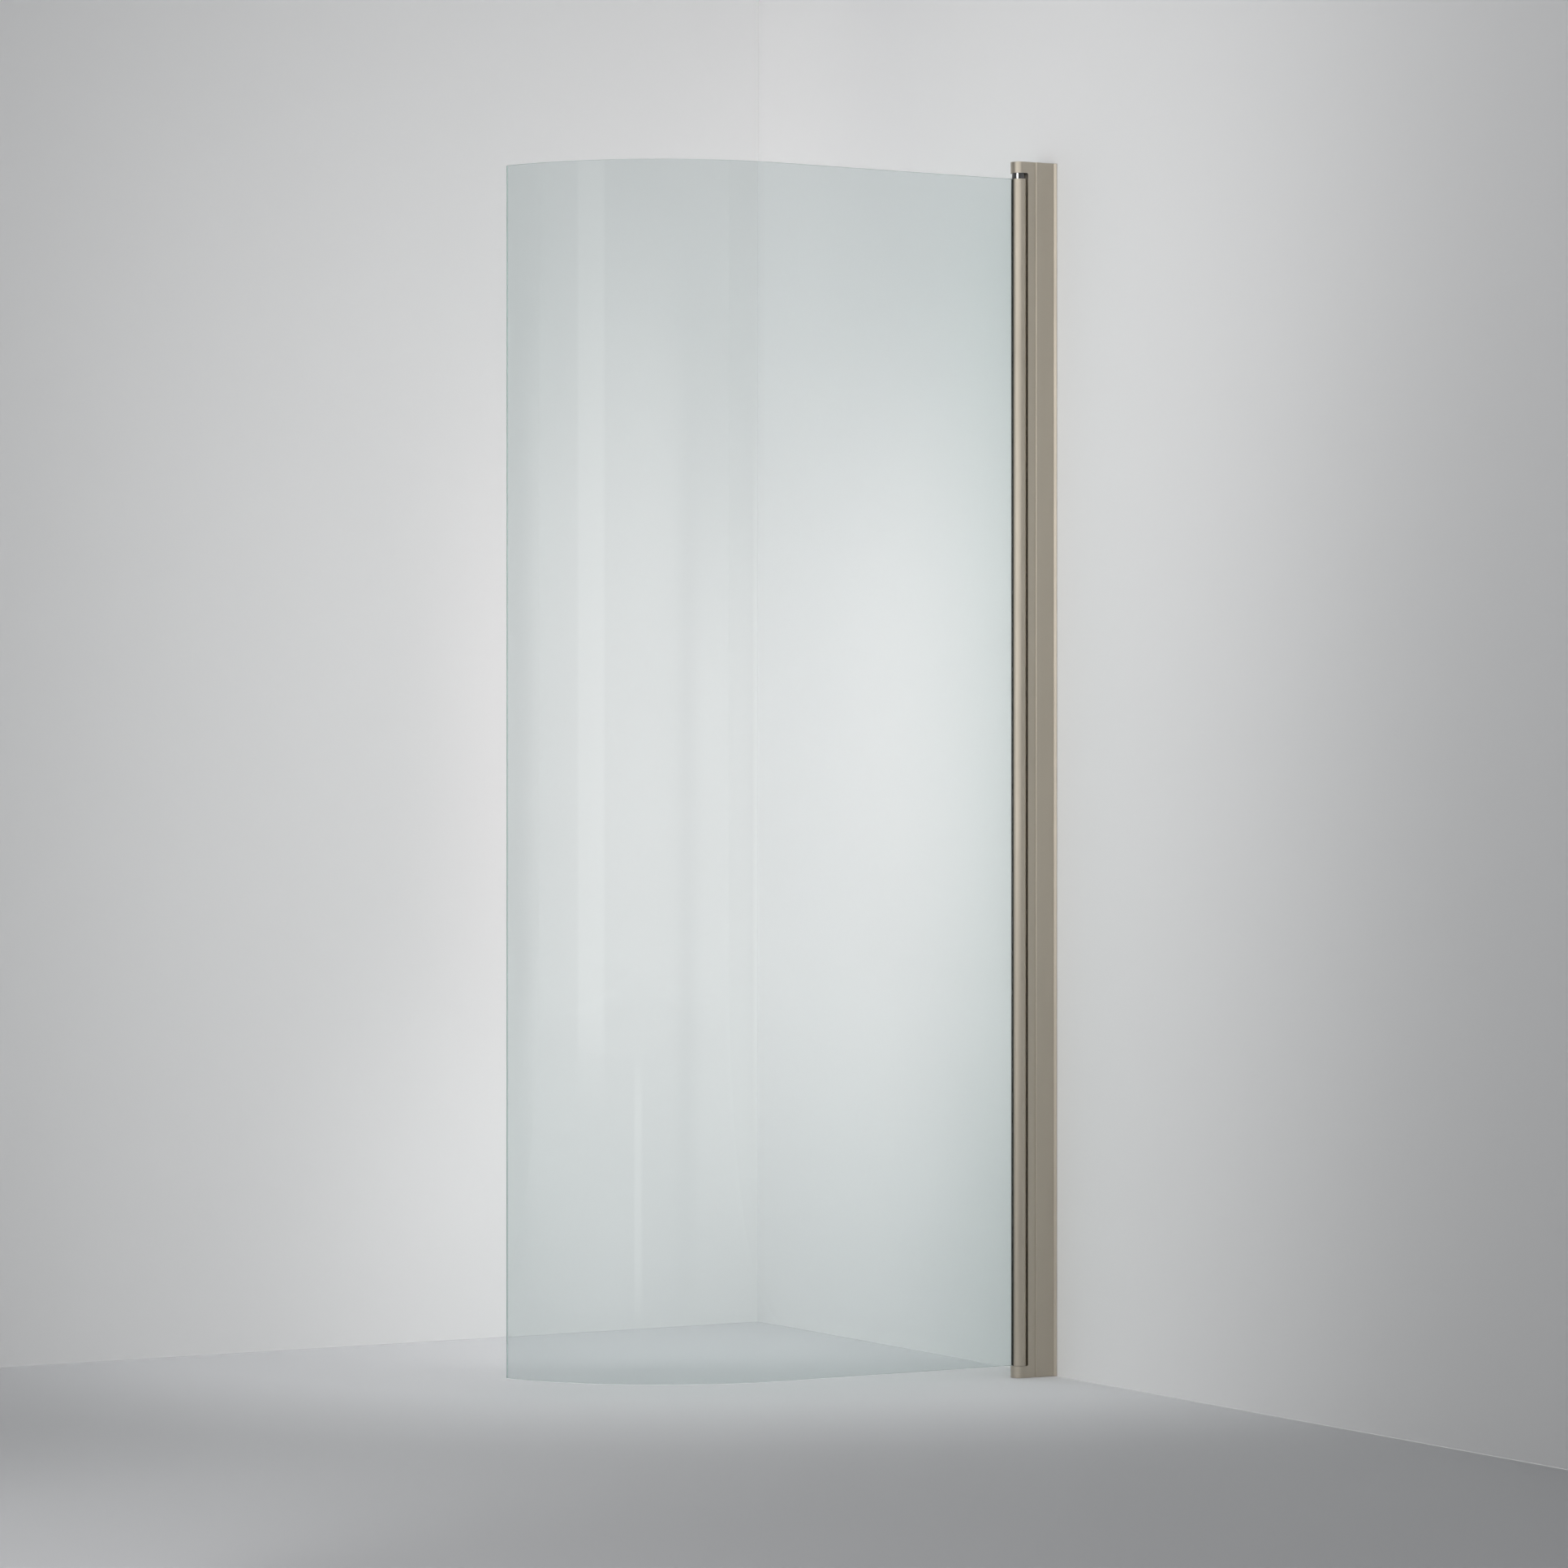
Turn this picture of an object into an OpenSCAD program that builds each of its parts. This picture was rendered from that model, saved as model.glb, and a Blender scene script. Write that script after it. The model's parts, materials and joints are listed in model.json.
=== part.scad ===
// Curved glass shower screen that swings on a rising hinge.
// Wall plane at x = 0 with the screen on the -X side, floor at z = 0, room side towards -Y.
// Millimetres.

/* [Overall size] */
// Height of the wall channel and the hinge post
screen_h = 2000; // [1800:10:2200]
// Distance from the wall to the hinge axis
hinge_reach = 63; // [60:0.5:70]

/* [Glass] */
// Thickness of the glass
glass_t = 6; // [5:0.5:7]
// Distance from the hinge axis to the start of the curve
glass_flat = 452; // [300:1:600]
// Radius of the curve at the middle of the glass
glass_radius = 385; // [250:5:500]
// Angle that the curve turns through
glass_sweep = 70; // [40:1:90]
// Width of the ground bevel along the free edge of the glass
glass_bevel = 0.5; // [0.3:0.1:1]

/* [Hinge barrel] */
// Outer diameter of the barrel, which is also the thickness of the post
barrel_d = 27; // [26:0.5:30]
// Wall of the barrel around the bearing chamber
barrel_wall = 2; // [1.6:0.1:2.2]
// Distance from the hinge axis to the floor of the glazing pocket
pocket_floor = 7.2; // [6.8:0.1:8]
// Wall between the glazing pocket and the bearing chamber
pocket_web = 1.8; // [1.4:0.1:2]
// Thickness of the cushion between the glass edge and the pocket floor
cushion_t = 1; // [0.5:0.1:1.5]
// Thickness of each glazing strip inside the pocket
gasket_t = 1.2; // [0.8:0.1:1.6]
// How far each glazing strip's lip reaches along the glass past the mouth of the pocket
lip_reach = 0.9; // [0.8:0.1:4]
// How far each lip stands out past its strip
lip_rise = 0.3; // [0.2:0.1:0.6]
// Thickness of each lip at its tip
lip_tip = 0.35; // [0.2:0.05:0.6]

/* [Hinge post] */
// Wall of the post
post_wall = 2; // [1.6:0.1:2.2]
// Height of the nose left above the notch
head_h = 18.4; // [18.2:0.1:24]
// Height of the nose left below the notch
foot_h = 19.5; // [18.5:0.1:24]
// Gap between the barrel and the nose above it
top_gap = 9.6; // [9.2:0.1:12]
// Gap between the barrel and the nose below it
bottom_gap = 0.5; // [0.3:0.1:2]
// Distance from the hinge axis to the cut edges of the notch
notch_cut = 9.8; // [9:0.1:12]
// Radius of the notch corners
notch_r = 3; // [1:0.5:3]
// Distance from the hinge axis to the cross web
web_offset = 16; // [15.5:0.5:18]
// Thickness of the cross web
web_t = 2; // [1.5:0.1:3]
// Space between the post and the back of the channel
adjust_gap = 4; // [3:0.5:6]

/* [Wall channel] */
// Thickness of the channel's sides
channel_wall = 1.6; // [1.2:0.1:2.5]
// Thickness of the channel's back
channel_back = 2; // [1.5:0.1:3]
// Distance from the wall to the channel's front lips
channel_depth = 38.8; // [36:0.2:42]
// Clearance between the post and each side of the channel
channel_fit = 0.15; // [0.1:0.05:0.3]
// How far the foot of each side flares out
foot_flare = 3.4; // [2:0.1:5]
// Thickness of the flared foot at its edge
foot_edge = 0.6; // [0.4:0.1:1]

/* [Wall holes] */
// Diameter of the wall screw holes
wall_hole_d = 5.5; // [4.5:0.1:6.5]
// Distance from each end of the channel to its outer wall hole
wall_hole_inset = 100; // [60:5:200]
// Distance between the two inner wall holes
inner_hole_spacing = 600; // [300:10:900]

/* [Clamping] */
// Diameter of the clamp screws
clamp_d = 5; // [4:0.5:6]
// Diameter of the clamp screws' heads
clamp_head_d = 9; // [8:0.5:10]
// Height of the clamp screws' heads
clamp_head_h = 2.4; // [2:0.1:3]
// Distance from the wall to the clamp screws
clamp_reach = 22; // [20:0.5:25]
// Distance from each end of the post to its outer clamp screw
clamp_inset = 250; // [180:5:400]
// Travel that the channel's slots give the post
clamp_travel = 6; // [4:0.5:7]
// Length of the clamp nuts
nut_l = 20; // [14:1:24]
// Thickness of the clamp nuts
nut_t = 4; // [3:0.5:6]
// Wall around the screw head in each cover
cover_wall = 2.4; // [2:0.1:3]
// Thickness of the top of each cover
cover_top = 1; // [0.8:0.1:2]

/* [Rising cam] */
// Height that the door rises when it is fully open
rise = 8; // [6:0.5:9]
// Angle that the door opens
open_angle = 90; // [80:5:100]
// Diameter of the cams
cam_d = 20; // [18:0.5:20]
// Number of ramps around each cam
cam_lobes = 3; // [3:1:4]
// Gap between the ramps of the two cams
cam_gap = 0.3; // [0.2:0.05:0.4]
// Thickness of the floor under the cams
well_floor = 2.5; // [2:0.1:3]
// Height of the keyed base of the fixed cam
cam_base = 2.5; // [2:0.1:3]
// Clearance between the turning cam and its well
well_fit = 0.3; // [0.2:0.05:0.5]
// Distance from the hinge axis to the key flats
key_flat = 8; // [7:0.1:8.5]

/* [Bearings] */
// Diameter of the hinge pin and the bush's journal
pin_d = 8; // [6:0.5:9]
// Length of the pin and of the journal inside the barrel
pin_grip = 22; // [16:1:24]
// Length of the bearing plugs
plug_h = 30; // [27:1:40]
// Clearance around each plug
plug_fit = 0.1; // [0.05:0.05:0.2]
// Depth of the bush in the nose of the post when the door is down
bush_grip = 8; // [6:0.5:8.5]
// Gap between the bush and the barrel
bush_seat = 0.3; // [0.2:0.05:0.5]
// Radial running clearance of the pin, the journal and the bush
run_fit = 0.05; // [0.02:0.01:0.1]
// Diameter of the pegs that drive the turning cam
peg_d = 3.8; // [3:0.1:4]
// Length of the drive pegs
peg_h = 5; // [3:0.5:8]

/* [Small fixings] */
// Diameter of the pivot block screws
block_screw_d = 4; // [3:0.5:4]
// Diameter of their heads
block_head_d = 7; // [6:0.5:8]
// Height of their heads
block_head_h = 2.2; // [1.8:0.1:3]
// Depth of these screws in the pivot blocks
block_screw_grip = 4; // [3:0.2:4.4]
// Diameter of the plug set screws
set_screw_d = 4; // [3:0.5:5]
// Length of the plug set screws
set_screw_l = 5; // [4:0.5:6]
// Height of the end caps
cap_h = 4; // [3:0.5:5]
// Thickness of the end caps
cap_t = 2; // [1.5:0.1:2.5]
// Length of the plug behind the post
slit_plug_h = 12; // [8:1:20]

/* [Hidden] */
$fn = 96;

// Overlap that keeps cuts clean
cut = 1;
// Clearance of an insert in its chamber, and of a screw in its thread
insert_fit = 0.1;
thread_fit = 0.05;
// Clearance around a screw shank
shank_fit = 0.25;
// Width of the arms of a screw's drive recess
recess_t = 1;
// Shares of a pan head: its flat top across, and its recess across and down
head_top = 0.7;
recess_share = 0.55;
// Bevel at the ends of the hinge pin, and around the top of each screw cover
pin_bevel = 0.6;
cover_bevel = 0.8;

hinge_x = -hinge_reach;
barrel_r = barrel_d / 2;
channel_inner = barrel_r + channel_fit;
channel_outer = channel_inner + channel_wall;
post_back_x = -channel_back - adjust_gap;
cut_x = hinge_x + notch_cut;
web_x = hinge_x + web_offset;
rear_x = web_x + web_t;
chamber_r = barrel_r - post_wall;
// Radius of the bush above the barrel, which slides in the nose of the post
bush_r = chamber_r - run_fit;

notch_z0 = foot_h;
notch_z1 = screen_h - head_h;
door_z0 = notch_z0 + bottom_gap;
door_z1 = notch_z1 - top_gap;
door_h = door_z1 - door_z0;

flat_x = hinge_x - glass_flat;
glass_in_x = hinge_x - pocket_floor - cushion_t;
pocket_r = glass_t / 2 + gasket_t;
bearing_r = barrel_r - barrel_wall;
bearing_x = -(pocket_floor - pocket_web);

wall_hole_z = [
    wall_hole_inset, screen_h / 2 - inner_hole_spacing / 2,
    screen_h / 2 + inner_hole_spacing / 2, screen_h - wall_hole_inset
];
clamp_z = [clamp_inset, screen_h / 2, screen_h - clamp_inset];
block_screw_z = [foot_h / 2, screen_h - head_h / 2];
set_screw_z = [door_z0 + plug_h / 2, door_z1 - plug_h / 2];

cam_z = well_floor + cam_base;
// Least thickness of a ramp at its low end
ramp_land = 0.3;
ramp_h = rise / open_angle * 360 / cam_lobes;
ramp_steps = 18;
// Angle by which the turning cam stands off its stops
stop_angle = 2;
// Distance from the hinge axis to the drive pegs, along X and along Y
peg_x = 7.4;
peg_y = 3.6;
// Room left beyond the end of a pin or of the rising bush
end_clear = 0.4;

champagne = [0.6, 0.57, 0.51];
glass_green = [0.75, 0.87, 0.84, 0.45];
black = [0.06, 0.06, 0.06];
steel = [0.72, 0.73, 0.74];
grey = [0.45, 0.45, 0.45];

// Round bar along +X
module rod_x(d, length) {
    rotate([0, 90, 0]) cylinder(d = d, h = length);
}

// Round bar along -Y
module rod_y(d, length) {
    rotate([90, 0, 0]) cylinder(d = d, h = length);
}

// Disc with one flat that faces the wall
module keyed_disc(r, flat) {
    intersection() {
        circle(r = r);
        translate([-r - cut, -r - cut]) square([r + cut + flat, 2 * (r + cut)]);
    }
}

// Outline of a chamber or bar that fills the nose of the post up to the cross web
module nose_outline(r, back_x) {
    circle(r = r);
    translate([0, -r]) square([back_x, 2 * r]);
}

// Side of the wall channel in plan: rounded front lip, straight side, flared foot
module channel_side() {
    translate([-channel_depth + channel_wall, channel_inner]) circle(r = channel_wall);
    polygon([
        [0, channel_inner], [0, channel_outer + foot_flare],
        [-foot_edge, channel_outer + foot_flare],
        [-foot_edge - foot_flare, channel_outer],
        [-channel_depth + channel_wall, channel_outer],
        [-channel_depth + channel_wall, channel_inner]
    ]);
}

module wall_channel() {
    slot_r = clamp_d / 2 + shank_fit;
    color(champagne) difference() {
        linear_extrude(height = screen_h) difference() {
            union() {
                channel_side();
                mirror([0, 1]) channel_side();
                translate([-channel_back, -channel_outer])
                    square([channel_back, 2 * channel_outer]);
            }
            translate([-channel_depth - cut, -channel_inner])
                square([channel_depth + cut - channel_back, 2 * channel_inner]);
        }
        for (z = wall_hole_z)
            translate([-channel_back - cut, 0, z]) rod_x(wall_hole_d, channel_back + 2 * cut);
        for (z = clamp_z) {
            for (side = [-1, 1])
                translate([-clamp_reach + side * clamp_travel / 2, channel_outer + cut, z])
                    rod_y(2 * slot_r, channel_wall + 2 * cut);
            translate([-clamp_reach - clamp_travel / 2, channel_inner - cut, z - slot_r])
                cube([clamp_travel, channel_wall + 2 * cut, 2 * slot_r]);
        }
    }
}

// Side view of the notch, with rounded corners at its cut edges
module notch_outline() {
    open_x = hinge_x - barrel_r - cut;
    translate([open_x, notch_z0])
        square([cut_x - notch_r - open_x, notch_z1 - notch_z0]);
    translate([cut_x - notch_r, notch_z0 + notch_r])
        square([notch_r, notch_z1 - notch_z0 - 2 * notch_r]);
    for (z = [notch_z0 + notch_r, notch_z1 - notch_r])
        translate([cut_x - notch_r, z]) circle(r = notch_r);
}

module hinge_post() {
    color(champagne) difference() {
        translate([hinge_x, 0, 0]) linear_extrude(height = screen_h) difference() {
            nose_outline(barrel_r, post_back_x - hinge_x);
            nose_outline(chamber_r, web_offset);
            translate([web_offset + web_t, -chamber_r])
                square([post_back_x - post_wall - rear_x, 2 * chamber_r]);
        }
        translate([0, barrel_r + cut, 0]) rotate([90, 0, 0])
            linear_extrude(height = 2 * (barrel_r + cut)) notch_outline();
        for (z = clamp_z)
            translate([-clamp_reach, barrel_r + cut, z])
                rod_y(clamp_d + 2 * shank_fit, post_wall + 2 * cut);
        for (z = block_screw_z)
            translate([web_x - cut, 0, z])
                rod_x(block_screw_d + 2 * shank_fit, web_t + 2 * cut);
    }
}

// Cross-shaped drive recess, to be cut from above into a head that faces +Z
module cross_recess(width, depth) {
    for (turn = [0, 90])
        rotate([0, 0, turn]) translate([-width / 2, -recess_t / 2, -depth])
            cube([width, recess_t, depth + cut]);
}

// Pan-head screw with the underside of its head at z = 0 and its shank towards -Z
module pan_screw(d, length, head_d, head_h) {
    difference() {
        union() {
            translate([0, 0, -length]) cylinder(d = d, h = length);
            cylinder(d = head_d, h = head_h / 2);
            translate([0, 0, head_h / 2])
                cylinder(d1 = head_d, d2 = head_d * head_top, h = head_h / 2);
        }
        translate([0, 0, head_h]) cross_recess(head_d * recess_share, head_h * recess_share);
    }
}

module clamp_screws() {
    length = channel_wall + channel_fit + post_wall + nut_t + cut;
    color(steel) for (z = clamp_z)
        translate([-clamp_reach, channel_outer, z]) rotate([-90, 0, 0])
            pan_screw(clamp_d - 2 * thread_fit, length, clamp_head_d, clamp_head_h);
}

module clamp_nuts() {
    color(grey) for (z = clamp_z)
        difference() {
            translate([-clamp_reach - nut_l / 2, chamber_r - insert_fit - nut_t, z - nut_l / 2])
                cube([nut_l, nut_t, nut_l]);
            translate([-clamp_reach, chamber_r + cut, z]) rod_y(clamp_d, nut_t + 2 * cut);
        }
}

module screw_covers() {
    room = clamp_head_h + insert_fit;
    cover_r = clamp_head_d / 2 + insert_fit + cover_wall;
    color(champagne) for (z = clamp_z)
        translate([-clamp_reach, channel_outer, z]) rotate([-90, 0, 0]) difference() {
            rotate_extrude() polygon([
                [0, 0], [cover_r, 0], [cover_r, room + cover_top - cover_bevel],
                [cover_r - cover_bevel, room + cover_top], [0, room + cover_top]
            ]);
            translate([0, 0, -cut]) cylinder(d = clamp_head_d + 2 * insert_fit, h = room + cut);
        }
}

// Insert that fills the nose of the post between two heights
module pivot_block(z0, z1) {
    translate([hinge_x, 0, z0]) linear_extrude(height = z1 - z0)
        nose_outline(chamber_r - insert_fit, web_offset - insert_fit);
}

// Threaded hole for a pivot block screw
module block_screw_hole(z) {
    translate([web_x - block_screw_grip - end_clear, 0, z])
        rod_x(block_screw_d, block_screw_grip + end_clear + cut);
}

module top_pivot_block() {
    socket_h = bush_grip + rise + end_clear;
    color(black) difference() {
        pivot_block(notch_z1, screen_h);
        translate([hinge_x - barrel_r, -barrel_r, notch_z1 - cut])
            cube([barrel_r + key_flat + insert_fit, barrel_d, socket_h + cut]);
        block_screw_hole(block_screw_z[1]);
    }
}

module bottom_pivot_block() {
    color(black) difference() {
        pivot_block(0, notch_z0);
        translate([hinge_x, 0, cam_z]) cylinder(r = cam_d / 2 + well_fit, h = notch_z0);
        translate([hinge_x, 0, well_floor]) linear_extrude(height = cam_base + cut / 2)
            keyed_disc(cam_d / 2 + run_fit, key_flat + insert_fit);
        translate([hinge_x, 0, -cut]) cylinder(d = pin_d, h = well_floor + 2 * cut);
        block_screw_hole(block_screw_z[0]);
    }
}

module pivot_block_screws() {
    color(steel) for (z = block_screw_z)
        translate([rear_x, 0, z]) rotate([0, 90, 0])
            pan_screw(block_screw_d - 2 * thread_fit, web_t + block_screw_grip,
                block_head_d, block_head_h);
}

// Round pin with bevelled ends, standing on z = 0
module bevelled_pin(d, h, bevel) {
    rotate_extrude() polygon([
        [0, 0], [d / 2 - bevel, 0], [d / 2, bevel], [d / 2, h - bevel],
        [d / 2 - bevel, h], [0, h]
    ]);
}

module bottom_hinge_pin() {
    pin_z0 = thread_fit;
    color(steel) translate([hinge_x, 0, pin_z0])
        bevelled_pin(pin_d - 2 * thread_fit, door_z0 + pin_grip - pin_z0, pin_bevel);
}

// Solid under a ring of helical ramps that climb anticlockwise from z0
module ramp_block(z0, inner_r, outer_r, bottom_z) {
    count = cam_lobes * ramp_steps;
    row = ramp_steps + 1;
    function ring(k, z) = [
        for (r = [inner_r, outer_r])
            [r * cos(k * 360 / count), r * sin(k * 360 / count), z]
    ];
    function low(k) = 2 * (k % count);
    function high(lobe, step) = 2 * (count + (lobe % cam_lobes) * row + step);
    points = [
        for (k = [0 : count - 1]) each ring(k, bottom_z),
        for (lobe = [0 : cam_lobes - 1], step = [0 : ramp_steps])
            each ring(lobe * ramp_steps + step, z0 + ramp_h * step / ramp_steps)
    ];
    ramps = [
        for (lobe = [0 : cam_lobes - 1], step = [0 : ramp_steps - 1])
            let (a = high(lobe, step), b = high(lobe, step + 1),
                p = low(lobe * ramp_steps + step), q = low(lobe * ramp_steps + step + 1))
            each [
                [a, b, b + 1], [a, b + 1, a + 1],
                [p, p + 1, q + 1], [p, q + 1, q],
                [a + 1, q + 1, p + 1], [b, a, p]
            ]
    ];
    // The last panel of each wall also meets the low end of the next ramp
    panels = [
        for (lobe = [0 : cam_lobes - 1], step = [0 : ramp_steps - 1])
            let (last = step == ramp_steps - 1, a = high(lobe, step), b = high(lobe, step + 1),
                p = low(lobe * ramp_steps + step), q = low(lobe * ramp_steps + step + 1),
                next = high(lobe + 1, 0))
            each last
                ? [[a + 1, b + 1, next + 1], [a + 1, next + 1, q + 1],
                    [b, p, next], [next, p, q]]
                : [[a + 1, b + 1, q + 1], [b, p, q]]
    ];
    steps = [
        for (lobe = [0 : cam_lobes - 1])
            let (b = high(lobe, ramp_steps), next = high(lobe + 1, 0))
            each [[b + 1, b, next], [b + 1, next, next + 1]]
    ];
    polyhedron(points = points, faces = concat(ramps, panels, steps));
}

// Ramps oversized in plan, so that round cuts give them true sides
module oversize_ramps(lift) {
    ramp_block(cam_z + ramp_land + lift, (pin_d - cut) / 2, cam_d / 2 + cut, cam_z - cut);
}

module fixed_cam() {
    color(black) translate([hinge_x, 0, 0]) difference() {
        union() {
            translate([0, 0, well_floor]) linear_extrude(height = cam_base)
                keyed_disc(cam_d / 2, key_flat);
            intersection() {
                translate([0, 0, cam_z]) cylinder(d = cam_d, h = ramp_h + cut);
                oversize_ramps(0);
            }
        }
        translate([0, 0, well_floor - cut]) cylinder(d = pin_d, h = cam_z + ramp_h + cut);
    }
}

module follower_cam() {
    color(black) translate([hinge_x, 0, 0]) {
        difference() {
            translate([0, 0, cam_z]) cylinder(d = cam_d, h = door_z0 - cam_z);
            oversize_ramps(cam_gap);
            rotate([0, 0, stop_angle]) oversize_ramps(cam_gap);
            translate([0, 0, cam_z - cut])
                cylinder(d = pin_d + 2 * well_fit, h = door_z0 - cam_z + 2 * cut);
        }
        for (side = [-1, 1])
            translate([peg_x, side * peg_y, door_z0]) cylinder(d = peg_d, h = peg_h);
    }
}

// Cap that closes the rear chamber of the post, with its plate at the bottom
module chamber_cap() {
    x0 = rear_x + insert_fit;
    length = post_back_x - post_wall - insert_fit - x0;
    width = 2 * (chamber_r - insert_fit);
    difference() {
        translate([x0, -width / 2, 0]) cube([length, width, cap_h]);
        translate([x0 + cap_t, -width / 2 + cap_t, cap_t])
            cube([length - 2 * cap_t, width - 2 * cap_t, cap_h]);
    }
}

module post_top_cap() {
    color(champagne) translate([0, 0, screen_h]) mirror([0, 0, 1]) chamber_cap();
}

module post_foot_cap() {
    color(champagne) chamber_cap();
}

module channel_top_plug() {
    width = 2 * (channel_inner - insert_fit);
    color(champagne)
        translate([post_back_x + insert_fit, -width / 2, screen_h - slit_plug_h])
            cube([adjust_gap - 2 * insert_fit, width, slit_plug_h]);
}

module top_bush() {
    bush_z0 = door_z1 + bush_seat;
    color(black) translate([hinge_x, 0, 0]) {
        translate([0, 0, bush_z0])
            linear_extrude(height = notch_z1 + bush_grip - bush_z0)
                keyed_disc(bush_r, key_flat);
        translate([0, 0, door_z1 - pin_grip])
            cylinder(d = pin_d, h = pin_grip + bush_seat + cut);
    }
}

// Bearing chamber of the barrel in plan, shrunk by a clearance
module bearing_outline(fit) {
    intersection() {
        circle(r = bearing_r - fit);
        translate([bearing_x + fit, -bearing_r]) square([2 * bearing_r, 2 * bearing_r]);
    }
}

module door_barrel() {
    color(champagne) translate([hinge_x, 0, 0]) difference() {
        translate([0, 0, door_z0]) linear_extrude(height = door_h) difference() {
            circle(r = barrel_r);
            bearing_outline(0);
            translate([-barrel_r - cut, -pocket_r])
                square([barrel_r + cut - pocket_floor, 2 * pocket_r]);
        }
        for (z = set_screw_z)
            translate([bearing_r - cut, 0, z]) rod_x(set_screw_d, barrel_wall + 2 * cut);
    }
}

// Corner cut at 45 degrees for the ground bevel beside the face at x, at the end y = 0
module bevel_corner(x) {
    polygon([[x - glass_bevel - cut, cut], [x + cut, -glass_bevel - cut], [x + cut, cut]]);
}

// Glass in plan: the flat part, then the curve with bevelled corners at its free end
module glass_outline() {
    half = glass_t / 2;
    far = 2 * (glass_radius + glass_t);
    translate([flat_x, -half]) square([glass_in_x - flat_x, glass_t]);
    translate([flat_x, glass_radius]) difference() {
        circle(r = glass_radius + half);
        circle(r = glass_radius - half);
        translate([0, -far]) square([far, 2 * far]);
        translate([-far, 0]) square([far, far]);
        rotate(-90 - glass_sweep) {
            translate([-far, -far]) square([2 * far, far]);
            translate([glass_radius, 0]) for (side = [0, 1])
                mirror([side, 0]) mirror([0, 1]) bevel_corner(half);
        }
    }
}

module glass_panel() {
    color(glass_green) translate([0, 0, door_z0]) linear_extrude(height = door_h) glass_outline();
}

// Glazing strip in plan, on the side of the glass towards +Y
module gasket_outline() {
    half = glass_t / 2;
    mouth_x = -sqrt(pow(barrel_r, 2) - pow(pocket_r, 2)) - insert_fit;
    tip_x = mouth_x - lip_reach;
    polygon([
        [glass_in_x - hinge_x, half], [tip_x, half], [tip_x, half + lip_tip],
        [mouth_x - lip_rise, pocket_r + lip_rise], [mouth_x, pocket_r + lip_rise],
        [mouth_x, pocket_r], [glass_in_x - hinge_x, pocket_r]
    ]);
}

module inner_gasket() {
    color(black) translate([hinge_x, 0, door_z0])
        linear_extrude(height = door_h) gasket_outline();
}

module outer_gasket() {
    color(black) mirror([0, 1, 0]) translate([hinge_x, 0, door_z0])
        linear_extrude(height = door_h) gasket_outline();
}

module edge_cushion() {
    color(grey) translate([glass_in_x, -pocket_r, door_z0])
        cube([cushion_t, 2 * pocket_r, door_h]);
}

// Bearing plug between two heights
module bearing_plug(z0, z1) {
    translate([hinge_x, 0, z0]) linear_extrude(height = z1 - z0) bearing_outline(plug_fit);
}

// Seat for the tip of a plug set screw
module set_screw_seat(z) {
    translate([hinge_x + bearing_r - set_screw_l, 0, z])
        rod_x(set_screw_d, set_screw_l + cut);
}

module top_plug() {
    color(grey) difference() {
        bearing_plug(door_z1 - plug_h, door_z1);
        translate([hinge_x, 0, door_z1 - pin_grip - end_clear])
            cylinder(r = pin_d / 2 + run_fit, h = pin_grip + end_clear + cut);
        set_screw_seat(set_screw_z[1]);
    }
}

module bottom_plug() {
    color(grey) difference() {
        bearing_plug(door_z0, door_z0 + plug_h);
        translate([hinge_x, 0, door_z0 - cut])
            cylinder(r = pin_d / 2 + run_fit, h = pin_grip + end_clear + cut);
        for (side = [-1, 1])
            translate([hinge_x + peg_x, side * peg_y, door_z0 - cut])
                cylinder(r = peg_d / 2 + plug_fit, h = peg_h + end_clear + cut);
        set_screw_seat(set_screw_z[0]);
    }
}

// Set screws through the barrel wall that faces the post
module plug_screws() {
    tip_x = hinge_x + bearing_r - set_screw_l + end_clear;
    length = set_screw_l - end_clear + barrel_wall - insert_fit;
    color(steel) for (z = set_screw_z)
        translate([tip_x, 0, z]) difference() {
            rod_x(set_screw_d - 2 * thread_fit, length);
            translate([length / 2, 0, 0]) rotate([0, 90, 0])
                cylinder(d = set_screw_d / 2, h = length, $fn = 6);
        }
}

wall_channel();
hinge_post();
clamp_screws();
clamp_nuts();
screw_covers();
top_pivot_block();
bottom_pivot_block();
pivot_block_screws();
bottom_hinge_pin();
fixed_cam();
post_top_cap();
post_foot_cap();
channel_top_plug();
top_bush();
door_barrel();
glass_panel();
outer_gasket();
inner_gasket();
edge_cushion();
top_plug();
bottom_plug();
plug_screws();
follower_cam();
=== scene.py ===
import json
import math

import bmesh
import bpy
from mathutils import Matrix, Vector


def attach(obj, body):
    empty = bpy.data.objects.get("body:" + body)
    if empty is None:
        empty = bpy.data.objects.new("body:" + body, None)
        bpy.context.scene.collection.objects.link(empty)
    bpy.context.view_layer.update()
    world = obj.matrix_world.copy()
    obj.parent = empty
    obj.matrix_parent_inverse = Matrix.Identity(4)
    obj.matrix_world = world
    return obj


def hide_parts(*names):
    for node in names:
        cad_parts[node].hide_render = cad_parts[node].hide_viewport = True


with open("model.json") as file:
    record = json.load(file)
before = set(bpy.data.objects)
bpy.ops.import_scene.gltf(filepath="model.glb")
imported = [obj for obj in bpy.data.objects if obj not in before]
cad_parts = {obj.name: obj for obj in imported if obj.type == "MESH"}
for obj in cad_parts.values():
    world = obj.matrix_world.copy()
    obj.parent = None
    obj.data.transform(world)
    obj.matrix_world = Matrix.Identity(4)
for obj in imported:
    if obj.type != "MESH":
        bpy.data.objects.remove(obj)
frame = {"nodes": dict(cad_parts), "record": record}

for name in ("Cube", "Light", "Camera"):
    old = bpy.data.objects.get(name)
    if old:
        bpy.data.objects.remove(old)
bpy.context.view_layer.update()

nodes = frame["nodes"]
scene = bpy.context.scene
scene.view_settings.view_transform = "Standard"

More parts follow.
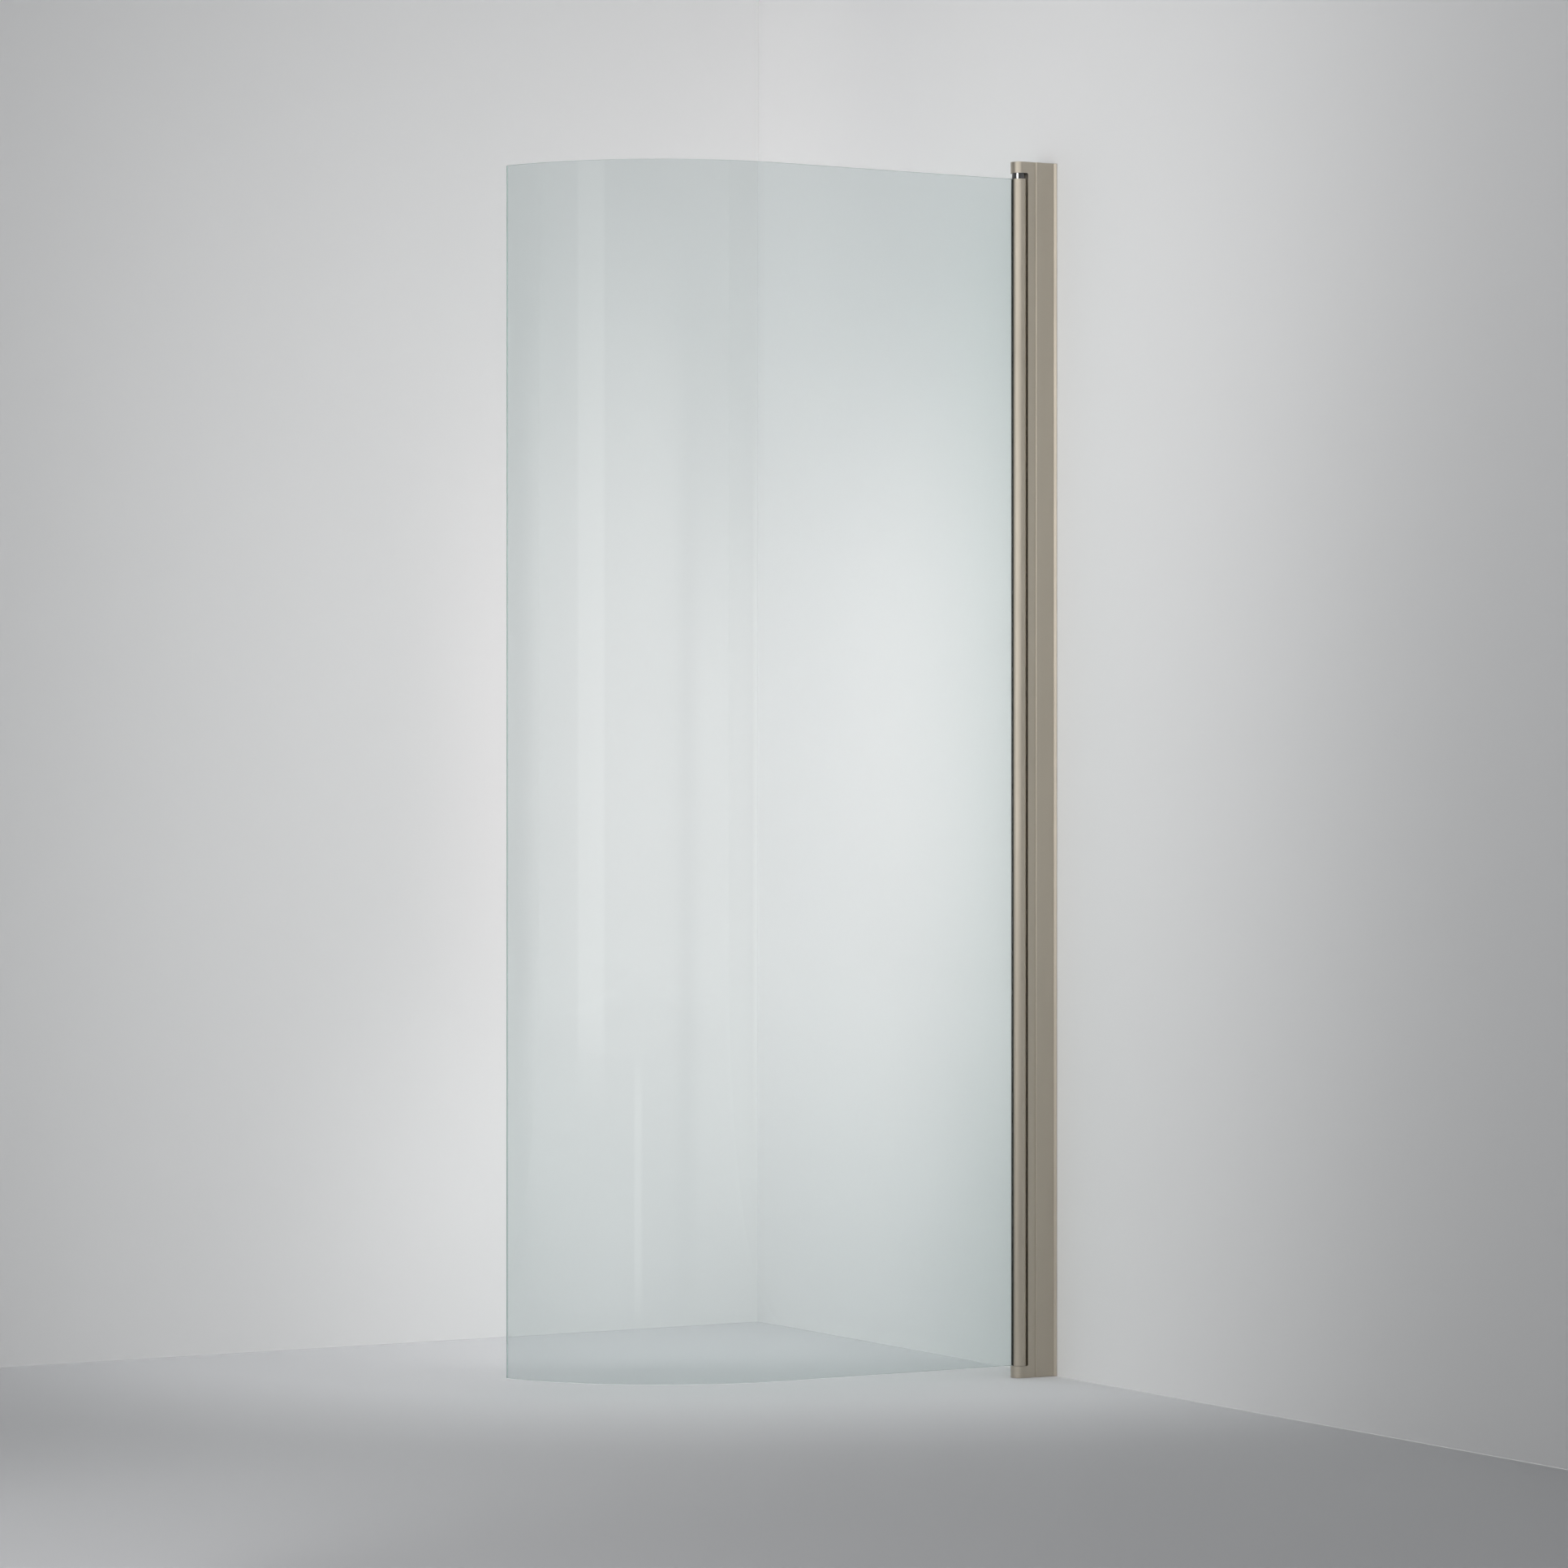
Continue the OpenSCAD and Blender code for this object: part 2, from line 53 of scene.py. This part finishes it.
# Sizes of the CAD model that the glass repeats, in metres. It is a hair thinner, so that it stays inside.
DOOR_Z0, DOOR_Z1 = 0.020, 1.972
GLASS_IN_X = -0.0712
FLAT_X = -0.515
GLASS_R = 0.385
GLASS_SWEEP = math.radians(70)
GLASS_HALF = 0.003 - 0.00002
GLASS_BEVEL = 0.0005
BEND_STEPS = 112

# The room, in metres: the side wall is x = 0
WALL_Y = 0.974
REACH = 14
WALL_H = 6
CLEAR = 0.0004  # keeps the set off the faces of the CAD model
TOUCH = 0.0015  # what lies closer to a wall than this sees through it

# Camera: level, turned 30 degrees from square to the wall
cam_data = bpy.data.cameras.new("camera")
cam = bpy.data.objects.new("camera", cam_data)
scene.collection.objects.link(cam)
scene.camera = cam
cam.location = (-4.595, -7.077, 0.9715)
cam.rotation_euler = (math.radians(90), 0, math.radians(-30))
cam_data.sensor_width = 36
cam_data.lens = 117.07
cam_data.shift_y = 0.0020
cam_data.clip_end = 100


# ---------------------------------------------------------------- materials
class Nodes:
    """Short form for building the node tree of one material or world."""

    def __init__(self, owner, output="OutputMaterial"):
        owner.use_nodes = True
        self.owner = owner
        self.tree = owner.node_tree
        self.tree.nodes.clear()
        self.out = self.tree.nodes.new("ShaderNode" + output)

    def add(self, kind, **inputs):
        """New node. Each keyword sets the node's property of that name, or else its input."""
        node = self.tree.nodes.new("ShaderNode" + kind)
        for key, value in inputs.items():
            if hasattr(node, key) and key not in node.inputs:
                setattr(node, key, value)
            else:
                self.put(node.inputs[key.replace("_", " ")], value)
        return node

    def put(self, socket, value):
        """Link a socket to an output, or set its value."""
        if isinstance(value, bpy.types.NodeSocket):
            self.tree.links.new(value, socket)
        else:
            socket.default_value = value

    def place(self, sx, sy, sz):
        """The object's own coordinates, times a scale per axis."""
        co = self.add("TexCoord")
        m = self.add("Mapping")
        self.put(m.inputs["Vector"], co.outputs["Object"])
        m.inputs["Scale"].default_value = (sx, sy, sz)
        return m.outputs[0]

    def noise(self, at, detail=2.0):
        n = self.add("TexNoise", Scale=1.0, Detail=detail)
        self.put(n.inputs["Vector"], at)
        return n.outputs["Fac"]

    def spread(self, value, lo, hi, start=0.3, end=0.7, curve="LINEAR"):
        """Map start..end of a value to lo..hi. Most of a noise lies between 0.3 and 0.7."""
        n = self.add("MapRange", interpolation_type=curve)
        names = ("Value", "From Min", "From Max", "To Min", "To Max")
        for key, v in zip(names, (value, start, end, lo, hi)):
            self.put(n.inputs[key], v)
        return n.outputs[0]

    def choose(self, mark, unmarked, marked):
        """One number where a mark is 0, another where it is 1."""
        return self.spread(mark, unmarked, marked, 0.0, 1.0)

    def calc(self, operation, first, second=None):
        n = self.add("Math", operation=operation)
        self.put(n.inputs[0], first)
        if second is not None:
            self.put(n.inputs[1], second)
        return n.outputs[0]

    def tint(self, value, dark, light):
        n = self.add("MixRGB")
        self.put(n.inputs[0], value)
        for socket, colour in ((n.inputs[1], dark), (n.inputs[2], light)):
            self.put(socket, (*colour, 1) if isinstance(colour, tuple) else colour)
        return n.outputs[0]

    def mix(self, value, first, second):
        n = self.add("MixShader")
        for socket, v in zip(n.inputs, (value, first, second)):
            self.put(socket, v)
        return n.outputs[0]

    def bump(self, height, strength, distance, normal=None):
        n = self.add("Bump", Strength=strength, Distance=distance)
        self.put(n.inputs["Height"], height)
        if normal is not None:
            self.put(n.inputs["Normal"], normal)
        return n.outputs[0]

    def rounded(self, radius):
        n = self.add("Bevel", Radius=radius)
        n.samples = 4
        return n.outputs[0]

    def transparent(self, colour=(1, 1, 1)):
        return self.add("BsdfTransparent", Color=(*colour, 1)).outputs[0]

    def seen(self):
        """1 for what the camera sees, directly or through glass."""
        path = self.add("LightPath")
        return self.calc("MAXIMUM", path.outputs["Is Camera Ray"], path.outputs["Is Transmission Ray"])

    def surface(self, socket):
        self.tree.links.new(socket, self.out.inputs["Surface"])
        return self.owner


def material(name):
    return Nodes(bpy.data.materials.new(name))


def principled(m, colour, roughness, normal, **inputs):
    """Principled shader with its colour, roughness and normal. Each keyword sets another input."""
    p = m.add("BsdfPrincipled", **inputs)
    for key, value in (("Base Color", colour), ("Roughness", roughness), ("Normal", normal)):
        m.put(p.inputs[key], value)
    return p.outputs[0]


def anodised(name, dark, light, metallic=1.0):
    """Satin anodised extrusion: fine die lines along Z, slight cloudiness, a clear oxide layer."""
    m = material(name)
    cloud = m.noise(m.place(9, 9, 2.5), detail=3)
    lines = m.noise(m.place(1500, 1500, 4), detail=1)
    grain = m.noise(m.place(2600, 2600, 2600), detail=0)
    normal = m.bump(lines, strength=0.22, distance=0.00003, normal=m.rounded(0.0003))
    normal = m.bump(grain, strength=0.10, distance=0.00002, normal=normal)
    roughness = m.spread(m.noise(m.place(60, 60, 6), detail=4), 0.36, 0.44)
    return m.surface(principled(m, m.tint(cloud, dark, light), roughness, normal, Metallic=metallic,
                                Coat_Weight=0.6, Coat_Roughness=0.22, Coat_IOR=1.6))


def moulded(name, dark, light, roughness, grain_depth, edge=0.0003, **coat):
    """Moulded plastic: spark-eroded grain and a little cloudiness."""
    m = material(name)
    grain = m.noise(m.place(1800, 1800, 1800), detail=3)
    normal = m.bump(grain, strength=0.35, distance=grain_depth, normal=m.rounded(edge))
    colour = m.tint(m.noise(m.place(70, 70, 70), detail=3), dark, light)
    rough = m.spread(m.noise(m.place(300, 300, 300), detail=2), *roughness)
    return m.surface(principled(m, colour, rough, normal, **coat))


def turned_steel(name):
    """Bright stainless steel with fine tool marks."""
    m = material(name)
    marks = m.noise(m.place(3500, 3500, 900), detail=2)
    normal = m.bump(marks, strength=0.3, distance=0.00002, normal=m.rounded(0.0002))
    colour = m.tint(m.noise(m.place(120, 120, 120)), (0.50, 0.51, 0.52), (0.60, 0.60, 0.60))
    roughness = m.spread(m.noise(m.place(500, 500, 500)), 0.20, 0.32)
    return m.surface(principled(m, colour, roughness, normal, Metallic=1.0))


def rubber(name):
    """Extruded glazing rubber: dull, with faint lines along Z and a dusty bloom."""
    m = material(name)
    lines = m.noise(m.place(2500, 2500, 12), detail=2)
    normal = m.bump(lines, strength=0.3, distance=0.00003, normal=m.rounded(0.0002))
    bloom = m.noise(m.place(90, 90, 30), detail=4)
    colour = m.tint(bloom, (0.018, 0.019, 0.015), (0.032, 0.033, 0.026))
    roughness = m.spread(m.noise(m.place(400, 400, 60)), 0.55, 0.72)
    return m.surface(principled(m, colour, roughness, normal))


def clear_glass(name):
    """Toughened float glass: faintly green, deeper green at its free end. Lamps shine through it unbent."""
    clear, ground_edge, free_end = (0.842, 0.865, 0.870), (0.90, 0.94, 0.93), (0.42, 0.60, 0.56)
    m = material(name)
    edge = m.add("Attribute", attribute_name="ground").outputs["Fac"]
    end = m.add("Attribute", attribute_name="free_end").outputs["Fac"]
    ripple = m.noise(m.place(7, 7, 3), detail=1)
    grit = m.noise(m.place(2200, 2200, 2200), detail=2)
    wave = m.bump(ripple, strength=0.05, distance=0.0006)
    normal = m.bump(grit, strength=m.choose(edge, 0.02, 0.4), distance=0.00003, normal=wave)
    colour = m.tint(end, m.tint(edge, clear, ground_edge), free_end)
    solid = principled(m, colour, m.choose(edge, 0.0, 0.30), normal, IOR=1.52,
                       Transmission_Weight=m.choose(edge, 1.0, 0.75))
    path = m.add("LightPath")
    light = m.calc("MAXIMUM", path.outputs["Is Shadow Ray"], path.outputs["Is Diffuse Ray"])
    absorb = m.add("VolumeAbsorption", Color=(0.30, 0.84, 0.70, 1), Density=9.0)
    m.tree.links.new(absorb.outputs[0], m.out.inputs["Volume"])
    return m.surface(m.mix(light, solid, m.transparent((0.965, 0.972, 0.970))))


finish = {
    "champagne_aluminium": anodised(
        "champagne_aluminium_finish", (0.442, 0.396, 0.326), (0.482, 0.433, 0.357)),
    "champagne_plastic": anodised(
        "champagne_plastic_finish", (0.36, 0.325, 0.262), (0.40, 0.362, 0.292), metallic=0.4),
    "stainless_steel": turned_steel("stainless_steel_finish"),
    "black_plastic": moulded(
        "black_plastic_finish", (0.020, 0.020, 0.020), (0.034, 0.034, 0.033),
        roughness=(0.42, 0.56), grain_depth=0.00006),
    "glossy_black_plastic": moulded(
        "glossy_black_plastic_finish", (0.010, 0.010, 0.010), (0.016, 0.016, 0.016),
        roughness=(0.05, 0.09), grain_depth=0.000002, edge=0.0012,
        Coat_Weight=1.0, Coat_Roughness=0.03, Coat_IOR=1.6),
    "black_rubber": rubber("black_rubber_finish"),
    "clear_glass": clear_glass("clear_glass_finish"),
}
slot_of = {s["node"]: s["material_slot"] for s in frame["record"]["subparts"]}
for node, obj in nodes.items():
    for i in range(len(obj.material_slots)):
        obj.material_slots[i].material = finish[slot_of[node]]


# ---------------------------------------------------------------- glass
def glass_path():
    """Points along the middle of the glass in plan, each with its normal, and the last of them apart."""
    n = Vector((0, 1, 0))
    rows = [(Vector((x, 0, 0)), n) for x in (GLASS_IN_X, -0.09, -0.25, -0.40, FLAT_X)]
    centre = Vector((FLAT_X, GLASS_R, 0))
    for i in range(1, BEND_STEPS + 1):
        a = -math.pi / 2 - GLASS_SWEEP * i / BEND_STEPS
        out = Vector((math.cos(a), math.sin(a), 0))
        rows.append((centre + GLASS_R * out, -out))
    last, n = rows.pop()
    along = Vector((n.y, -n.x, 0))
    if along.dot(last - rows[-1][0]) < 0:
        along.negate()
    rows.append((last - GLASS_BEVEL * along, n))
    return rows, (last, n)


def glass_piece():
    """The glass, bevelled along its free edges. Face attributes mark the ground edges and the free end."""
    rows, end = glass_path()
    h, b = GLASS_HALF, GLASS_BEVEL
    z0, z1 = DOOR_Z0, DOOR_Z1
    ring = [(-h + b, z0), (h - b, z0), (h, z0 + b), (h, z1 - b),
            (h - b, z1), (-h + b, z1), (-h, z1 - b), (-h, z0 + b)]
    broad = (2, 6)  # sides of the ring that are the two faces of the sheet
    low_in, low_out = (-h + b, z0 + b), (h - b, z0 + b)
    high_in, high_out = (-h + b, z1 - b), (h - b, z1 - b)
    cap = [low_in, low_out, low_out, high_out, high_out, high_in, high_in, low_in]
    bm = bmesh.new()

    def row(at, section):
        p, n = at
        return [bm.verts.new(p + n * u + Vector((0, 0, z))) for u, z in section]

    loops = [row(at, ring) for at in rows] + [row(end, cap)]
    ground, free_end = [], []
    for k, (a, c) in enumerate(zip(loops, loops[1:])):
        for i in range(len(ring)):
            j = (i + 1) % len(ring)
            f = bm.faces.new((a[i], a[j], c[j], c[i]))
            if k == len(loops) - 2:
                free_end.append(f)
            elif i not in broad:
                ground.append(f)
    bm.faces.new(loops[0][::-1])
    free_end.append(bm.faces.new(loops[-1]))
    bm.faces.index_update()
    marks = {"ground": {f.index for f in ground + free_end}, "free_end": {f.index for f in free_end}}
    me = bpy.data.meshes.new("glass")
    bm.normal_update()
    bm.to_mesh(me)
    bm.free()
    for name, faces in marks.items():
        attribute = me.attributes.new(name, "FLOAT", "FACE")
        for i in range(len(me.polygons)):
            attribute.data[i].value = 1.0 if i in faces else 0.0
    me.validate()
    # Join the corners that the cap has twice
    bm = bmesh.new()
    bm.from_mesh(me)
    bmesh.ops.remove_doubles(bm, verts=bm.verts, dist=1e-7)
    bmesh.ops.recalc_face_normals(bm, faces=bm.faces)
    bm.to_mesh(me)
    bm.free()
    for f in me.polygons:
        f.use_smooth = True
    me.set_sharp_from_angle(angle=math.radians(20))
    obj = bpy.data.objects.new("toughened_glass", me)
    scene.collection.objects.link(obj)
    me.materials.append(finish["clear_glass"])
    return obj


glass = glass_piece()
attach(glass, "door")
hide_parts("glass_panel")


# ---------------------------------------------------------------- stage
def panel(name, corners, paint):
    me = bpy.data.meshes.new(name)
    me.from_pydata(corners, [], [(0, 1, 2, 3)])
    obj = bpy.data.objects.new(name, me)
    scene.collection.objects.link(obj)
    me.materials.append(paint)
    return obj


def floor_panel(name, x0, x1, y0, y1, paint):
    return panel(name, [(x0, y0, -CLEAR), (x1, y0, -CLEAR), (x1, y1, -CLEAR), (x0, y1, -CLEAR)], paint)


def wall_finish(name, grey):
    """Matt wall paint that can be seen through from behind, and by what touches it."""
    m = material(name)
    behind = m.add("NewGeometry").outputs["Backfacing"]
    near = m.calc("LESS_THAN", m.add("LightPath").outputs["Ray Length"], TOUCH)
    paint = m.add("BsdfDiffuse", Color=(grey, grey, grey, 1)).outputs[0]
    return m.surface(m.mix(m.calc("MAXIMUM", behind, near), paint, m.transparent()))


def floor_with_painted_light(name, stops):
    """Matt floor whose grey changes away from the corner of the room as painted light and shade: (distance,
    grey) stops.
    """
    m = material(name)
    away = m.add("VectorMath", operation="DISTANCE")
    m.put(away.inputs[0], m.add("TexCoord").outputs["Object"])
    away.inputs[1].default_value = (0, WALL_Y, 0)
    reach = stops[-1][0]
    ramp = m.add("ValToRGB")
    ramp.color_ramp.interpolation = "B_SPLINE"
    ramp.color_ramp.elements.remove(ramp.color_ramp.elements[1])
    for i, (distance, grey) in enumerate(stops):
        mark = ramp.color_ramp.elements.new(distance / reach) if i else ramp.color_ramp.elements[0]
        mark.position = distance / reach
        mark.color = (grey, grey * 1.008, grey * 1.025, 1)
    m.put(ramp.inputs[0], m.spread(away.outputs["Value"], 0.0, 1.0, 0.0, reach))
    return m.surface(m.add("BsdfDiffuse", Color=ramp.outputs[0]).outputs[0])


def beyond_finish(name, grey):
    """Pale ground outside the room, which is seen through the walls from behind."""
    m = material(name)
    paint = m.add("BsdfDiffuse", Color=(0.8, 0.8, 0.8, 1)).outputs[0]
    pale = m.add("Emission", Color=(grey, grey, grey, 1)).outputs[0]
    return m.surface(m.mix(m.seen(), paint, pale))


wall_paint = wall_finish("wall_paint", 0.82)
# Painted light and shade on the floor: pale out to 1.2 m from the corner, a painted pool of shade from 1.7
# to 3.4 m, pale again by 5.5 m
floor_painted_light_and_shade = floor_with_painted_light("floor_painted_light_and_shade", (
    (0.0, 0.84), (1.2, 0.86), (1.7, 0.58), (2.1, 0.56), (2.8, 0.52), (3.4, 0.52), (5.5, 0.85)))
backdrop_floor = floor_panel("backdrop_floor", -REACH, 0, -REACH, WALL_Y, floor_painted_light_and_shade)
beyond_paint = beyond_finish("beyond_paint", 0.56)
floor_panel("backdrop_beyond_side", 0, REACH, -REACH, REACH, beyond_paint)
floor_panel("backdrop_beyond_back", -REACH, 0, WALL_Y, REACH, beyond_paint)
panel("backdrop_side", [(CLEAR, -REACH, 0), (CLEAR, -REACH, WALL_H),
                        (CLEAR, REACH, WALL_H), (CLEAR, REACH, 0)], wall_paint)
panel("backdrop_back", [(REACH, WALL_Y, 0), (REACH, WALL_Y, WALL_H),
                        (-REACH, WALL_Y, WALL_H), (-REACH, WALL_Y, 0)], wall_paint)

# The world is paler where it is seen than where it only lights
sky = Nodes(bpy.data.worlds.new("world"), "OutputWorld")
sky_level = sky.choose(sky.seen(), 0.46, 0.62)
scene.world = sky.surface(sky.add("Background", Color=(0.98, 0.985, 1.0, 1), Strength=sky_level).outputs[0])


def aim(obj, axis, at, to, only):
    """Stand a lamp or panel at a point, facing another and unseen, for all objects or one collection."""
    obj.location = at
    obj.rotation_euler = (Vector(to) - Vector(at)).to_track_quat(axis, "Y").to_euler()
    obj.visible_camera = False
    obj.visible_transmission = False
    if only:
        obj.light_linking.receiver_collection = only


def softbox(name, at, to, size, fade, radiance, only=None):
    """Panel that glows on one side, with soft edges, and only shows in reflections."""
    m = material(name)
    xyz = m.add("SeparateXYZ")
    m.put(xyz.inputs[0], m.add("TexCoord").outputs["Object"])
    w, h = size[0] / 2, size[1] / 2
    soft = [m.spread(m.calc("ABSOLUTE", xyz.outputs[axis]), 1.0, 0.0, half - fade[axis], half, "SMOOTHSTEP")
            for axis, half in enumerate((w, h))]
    front = m.choose(m.add("NewGeometry").outputs["Backfacing"], radiance, 0.0)
    power = m.calc("MULTIPLY", m.calc("MULTIPLY", *soft), front)
    both = m.add("AddShader")
    m.put(both.inputs[0], m.add("Emission", Color=(1.0, 0.99, 0.97, 1), Strength=power).outputs[0])
    m.put(both.inputs[1], m.transparent())
    obj = panel(name, [(-w, -h, 0), (w, -h, 0), (w, h, 0), (-w, h, 0)], m.surface(both.outputs[0]))
    aim(obj, "Z", at, to, only)
    obj.visible_diffuse = False
    obj.visible_shadow = False


def lamp(name, at, to, size, watts, spread, colour=(1, 1, 1), only=None):
    """Gridded soft light for matt surfaces, or for one collection, whose reflections then show it too."""
    data = bpy.data.lights.new(name, "AREA")
    data.shape = "RECTANGLE"
    data.size, data.size_y = size
    data.energy = watts
    data.spread = math.radians(spread)
    data.color = colour
    obj = bpy.data.objects.new(name, data)
    scene.collection.objects.link(obj)
    aim(obj, "-Z", at, to, only)
    obj.visible_glossy = bool(only)


def group(name, members):
    """Collection that a lamp or panel can be kept to."""
    made = bpy.data.collections.new(name)
    for obj in members:
        made.objects.link(obj)
    return made


metal = group("metal", [nodes[n] for n, slot in slot_of.items() if slot.startswith("champagne")])
gloss = group("gloss", [nodes[n] for n, slot in slot_of.items() if slot == "glossy_black_plastic"])
ground = group("ground", [backdrop_floor])
glazing = group("glazing", [glass])

# Reflections: the front of the room, its window, and a slim light low down on the bend
softbox("stage_front", (-8.6, -6.6, 1.40), (-0.5, 0.0, 1.40),
        size=(14.0, 3.8), fade=(5.0, 0.8), radiance=0.37)
softbox("stage_window", (-7.15, -2.82, 1.75), (-0.8, 0.12, 1.75),
        size=(2.0, 3.6), fade=(0.3, 0.35), radiance=0.80)
softbox("stage_strip", (-1.204, -0.451, 0.275), (-0.736, 0.070, 0.275),
        size=(0.085, 0.55), fade=(0.03, 0.15), radiance=1.0)
# Reflections in the glass alone: one for its curve, one for where the bend starts, one for the flat part
softbox("pane_curve", (-1.876, -0.55, 0.98), (-0.75, 0.10, 0.98),
        size=(2.8, 2.3), fade=(0.45, 0.75), radiance=1.00, only=glazing)
softbox("pane_bend", (-0.60, -1.25, 0.80), (-0.60, 0.0, 0.80),
        size=(1.16, 2.0), fade=(0.35, 0.70), radiance=1.30, only=glazing)
softbox("pane_flat", (-0.004, -1.05, 0.95), (-1.0, -1.05, 0.95),
        size=(2.5, 2.00), fade=(0.35, 0.70), radiance=1.20, only=glazing)
# Light on the walls, the floor and all that is matt
lamp("glow", (-2.4, -1.0, 1.10), (0.0, 0.60, 1.05), size=(0.8, 2.8), watts=7.0, spread=72)
lamp("wash", (-0.75, 0.25, 1.05), (0.0, 0.70, 1.05), size=(0.3, 1.0), watts=1.02, spread=110,
     colour=(1, 0.82, 0.84))
lamp("upper", (-2.2, -1.2, 2.5), (0.0, -0.35, 2.15), size=(0.8, 1.2), watts=1.9, spread=80)
lamp("corner", (-1.30, 0.80, 2.15), (0.0, 0.86, 2.10), size=(0.15, 0.9), watts=0.055, spread=30)
lamp("low", (-0.62, 0.30, 0.34), (-0.22, 0.974, 0.22), size=(0.6, 0.3), watts=0.32, spread=110)
lamp("floor", (-3.0, -1.5, 1.8), (-2.5, -1.2, 0.0), size=(1.5, 1.5), watts=7.0, spread=110, only=ground)
lamp("key", (-3.5, -6.5, 2.2), (-0.4, 0.5, 1.2), size=(2.0, 2.0), watts=4.9, spread=40)
# Highlights on the champagne pieces and on the glossy black ones
lamp("rim", (-2.20, -2.64, 1.80), (-0.06, 0.0, 1.60), size=(7.5, 2.3), watts=33.0, spread=140,
     colour=(1, 0.99, 0.97), only=metal)
lamp("spark", (-2.46, -1.81, 2.35), (-0.063, 0.0, 1.98), size=(1.2, 1.0), watts=50.0, spread=140, only=gloss)
